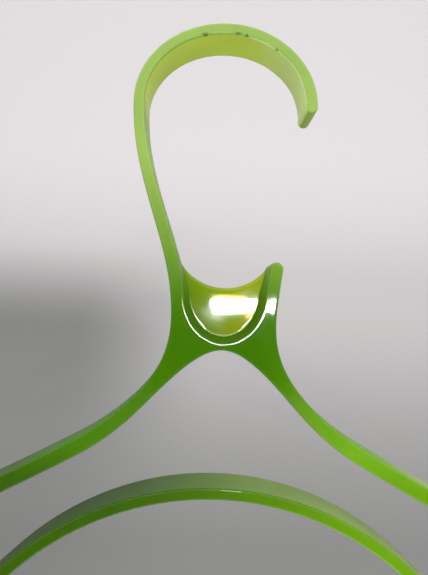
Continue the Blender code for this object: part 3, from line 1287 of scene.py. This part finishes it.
@dataclass(frozen=True)
class Viewpoint:
    """The camera.

    Attributes:
        location: where it is.
        swing: how far it swings to the left of straight back, in degrees.
        tilt: how far it looks up.
        roll: how far it leans to the right.
        lens: its focal length in millimetres.
        sensor: its sensor's longer side in millimetres.
        nearest: the nearest thing it sees.
    """

    location: tuple[float, float, float] = (-3.3 * MM, -125.4 * MM, -71.0 * MM)
    swing: float = -1.049
    tilt: float = 1.727
    roll: float = -2.390
    lens: float = 28.8
    sensor: float = 36.0
    nearest: float = 5 * MM

    def axes(self) -> tuple[Vector, Vector, Vector]:
        """Returns its right, its up and its way ahead."""
        swing = Matrix.Rotation(math.radians(self.swing), 3, "Z")
        tilt = Matrix.Rotation(math.radians(self.tilt), 3, "X")
        roll = Matrix.Rotation(math.radians(self.roll), 3, "Y")
        right, ahead, up = (swing @ tilt @ roll).transposed()
        return right, up, ahead

    def place(self) -> None:
        """Adds the camera."""
        camera = bpy.data.objects.new("camera", bpy.data.cameras.new("camera"))
        bpy.context.scene.collection.objects.link(camera)
        camera.data.lens = self.lens
        camera.data.sensor_width = self.sensor
        camera.data.clip_start = self.nearest
        right, up, ahead = self.axes()
        turn = Matrix((right, up, -ahead)).transposed().to_4x4()
        camera.matrix_world = Matrix.Translation(self.location) @ turn
        bpy.context.scene.camera = camera


def lit_rectangle(
    name: str, width: float, height: float, radiance: float, colour: Colour
) -> bpy.types.Object:
    """Adds a rectangular light.

    Args:
        name: its name.
        width: its width.
        height: its height.
        radiance: how bright it looks.
        colour: its colour.

    Returns:
        The light, at the origin and facing down.
    """
    lamp = bpy.data.objects.new(name, bpy.data.lights.new(name, "AREA"))
    bpy.context.scene.collection.objects.link(lamp)
    lamp.data.shape = "RECTANGLE"
    lamp.data.size = width
    lamp.data.size_y = height
    lamp.data.energy = radiance * math.pi * width * height
    lamp.data.color = colour
    return lamp


@dataclass(frozen=True)
class Panel:
    """A lit rectangle far in front, where the hanger's flat front mirrors it.

    Attributes:
        name: its name.
        across: the slopes to the right, from the camera, between which it is mirrored.
        up: the slopes upwards.
        radiance: how bright it is.
        colour: its colour.
        reach: how far in front of the hanger it is.
    """

    name: str
    across: Span
    up: Span
    radiance: float
    colour: Colour
    reach: float = 1.5

    def place(self, view: Viewpoint) -> None:
        """Adds the light.

        Args:
            view: the camera that sees its reflection.
        """
        flip = Vector((1, -1, 1))
        right, upwards, away = (axis * flip for axis in view.axes())
        start = Vector(view.location) * flip
        far = self.reach - start.y
        middle = start + away * far + right * far * sum(self.across) / 2 + upwards * far * sum(self.up) / 2
        width = far * (self.across[1] - self.across[0])
        height = far * (self.up[1] - self.up[0])
        lamp = lit_rectangle(self.name, width, height, self.radiance, self.colour)
        turn = Matrix((right, upwards, away)).transposed().to_4x4()
        lamp.matrix_world = Matrix.Translation(middle) @ turn


PANELS = (
    Panel("window", (-0.004, 0.128), (-0.0555, -0.0255), 360.0, (1.0, 1.0, 1.0)),
    Panel("warm_blind", (-0.002, 0.066), (-0.0245, -0.0165), 95.0, (1.0, 0.55, 0.12)),
    Panel("warm_sill", (0.068, 0.094), (-0.068, -0.0595), 60.0, (1.0, 0.6, 0.15)),
)


@dataclass(frozen=True)
class Paper:
    """One pale sheet that is floor, cove and backdrop, with painted shade low down and a painted shadow on
    the left.

    Attributes:
        backdrop_y: where the backdrop stands.
        floor_z: the floor's level.
        half_width: half the sheet's width.
        front_y: where the floor begins.
        top_z: how far the backdrop rises over the cove.
        cove: the cove's radius.
        cove_steps: how many faces make it.
        light: the sheet's colour high up.
        painted_shade: the colour of the painted shade low down.
        fade: the levels over which the painted shade gives way to the sheet's colour.
        painted_shadow_across: where across the painted shadow ends.
        painted_shadow_up: the levels over which it ends.
        painted_shadow: how strong it is.
        tooth_size: grain size of the paper's tooth.
        tooth_height: how high it could be.
        tooth_strength: how strong it is.
        roughness: the paper's roughness.
    """

    backdrop_y: float = 0.65
    floor_z: float = -0.32
    half_width: float = 3.0
    front_y: float = -1.2
    top_z: float = 2.4
    cove: float = 0.3
    cove_steps: int = 24
    light: Colour = (0.6, 0.58, 0.59)
    painted_shade: Colour = (0.13, 0.135, 0.128)
    fade: Span = (-0.42, 0.2)
    painted_shadow_across: Span = (-0.22, 0.03)
    painted_shadow_up: Span = (-0.13, 0.03)
    painted_shadow: float = 0.95
    tooth_size: float = 3 * MM
    tooth_height: float = 1 * MM
    tooth_strength: float = 0.2
    roughness: float = 0.9

    def place(self) -> None:
        """Adds the sheet to the stage."""
        bpy.ops.object.select_all(action="DESELECT")
        bpy.ops.mesh.primitive_plane_add(size=2, location=(0, 0, 0))
        sheet = bpy.context.active_object
        sheet.name = "backdrop"
        back_y = self.backdrop_y - self.cove
        for vert in sheet.data.vertices:
            vert.co = (vert.co.x * self.half_width, back_y if vert.co.y > 0 else self.front_y, self.floor_z)
        bpy.ops.object.mode_set(mode="EDIT")
        bpy.ops.mesh.select_mode(type="EDGE")
        bpy.ops.mesh.select_all(action="DESELECT")
        for edge in bmesh.from_edit_mesh(sheet.data).edges:
            if all(vert.co.y > 0 for vert in edge.verts):
                edge.select_set(True)
        quarter = math.pi / 2
        for step in range(self.cove_steps):
            before = quarter * step / self.cove_steps
            after = quarter * (step + 1) / self.cove_steps
            back = self.cove * (math.sin(after) - math.sin(before))
            rise = self.cove * (math.cos(before) - math.cos(after))
            bpy.ops.mesh.extrude_edges_move(TRANSFORM_OT_translate={"value": (0, back, rise)})
        bpy.ops.mesh.extrude_edges_move(TRANSFORM_OT_translate={"value": (0, 0, self.top_z)})
        bpy.ops.object.mode_set(mode="OBJECT")
        bpy.ops.object.shade_smooth()
        sheet.data.materials.append(self.material())
        sheet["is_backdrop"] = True

    def material(self) -> bpy.types.Material:
        """Builds the paper's material."""
        material = bpy.data.materials.new("pale_paper")
        material.use_nodes = True
        board = Board(material.node_tree)
        spot = board.spot()
        tooth = board.noise(spot.place, self.tooth_size, 2.0)
        normal = board.bump(tooth, self.tooth_strength, self.tooth_height)
        # painted shade low down and a painted shadow on the lower left
        painted_shadow = spot.across.falling(*self.painted_shadow_across) * spot.height.falling(*self.painted_shadow_up)
        lit = spot.height.rising(*self.fade) * (1 - painted_shadow * self.painted_shadow)
        colour = board.mixed(lit, self.painted_shade, self.light)
        sockets = {"Base Color": colour, "Roughness": self.roughness, "Normal": normal}
        shader = board.node("ShaderNodeBsdfPrincipled", {}, sockets)
        board.node("ShaderNodeOutputMaterial", {}, {"Surface": shader})
        return material


@dataclass(frozen=True)
class Room:
    """Soft light: bright above and in front, less at the sides, and a bounce off the table.

    Attributes:
        colour: the light's colour.
        everywhere: how bright the room is everywhere.
        above: how much brighter it is above and in front.
        flanks: how much brighter it is at the sides.
        behind: how much brighter it is behind.
        bounce_size: width and depth of the light from below.
        bounce_place: where it lies.
        bounce_radiance: how bright it is.
        bounce_colour: its colour.
        above_up: between which heights of a direction, from -1 to 1, the light above sets in.
        above_back: between which distances behind it ends.
        flanks_out: between which distances to a side the flanks' light sets in.
        behind_back: between which distances behind the light behind sets in.
    """

    colour: Colour = (1.0, 0.985, 0.995)
    everywhere: float = 0.12
    above: float = 2.4
    flanks: float = 0.9
    behind: float = 0.6
    bounce_size: Span = (0.5, 0.28)
    bounce_place: tuple[float, float, float] = (0.0, -0.1, -0.31)
    bounce_radiance: float = 2.6
    bounce_colour: Colour = (1.0, 0.98, 0.9)
    above_up: Span = (0.04, 0.62)
    above_back: Span = (-0.5, 0.5)
    flanks_out: Span = (0.45, 0.9)
    behind_back: Span = (-0.2, 0.4)

    def place(self) -> None:
        """Adds the world and the light from below."""
        world = bpy.data.worlds.new("soft_room")
        bpy.context.scene.world = world
        world.use_nodes = True
        board = Board(world.node_tree)
        rightwards, backwards, upwards = board.split(board.node("ShaderNodeTexCoord", {}, {}, "Generated"))
        above = upwards.rising(*self.above_up) * backwards.falling(*self.above_back)
        flanks = abs(rightwards).rising(*self.flanks_out)
        behind = backwards.rising(*self.behind_back)
        strength = self.everywhere + above * self.above + flanks * self.flanks + behind * self.behind
        sky = board.node("ShaderNodeBackground", {}, {"Color": (*self.colour, 1.0), "Strength": strength})
        board.node("ShaderNodeOutputWorld", {}, {"Surface": sky})
        lamp = lit_rectangle("bounce", *self.bounce_size, self.bounce_radiance, self.bounce_colour)
        lamp.rotation_euler = (math.pi, 0, 0)
        lamp.location = self.bounce_place


def main() -> None:
    """Builds the hanger, its materials, the stage and the camera."""
    logging.basicConfig(level=logging.INFO, format="%(message)s")
    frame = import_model()
    moulding = Moulding(HangerPlan())
    piece = moulding.build()
    moulding.dress(piece)
    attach(piece, ROOT_BODY)
    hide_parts(*frame["nodes"])
    LOG.info("%s: %d faces", piece.name, len(piece.data.polygons))
    view = Viewpoint()
    view.place()
    for panel in PANELS:
        panel.place(view)
    Paper().place()
    Room().place()
    bpy.context.scene.view_settings.view_transform = "Standard"


if __name__ == "__main__":
    main()
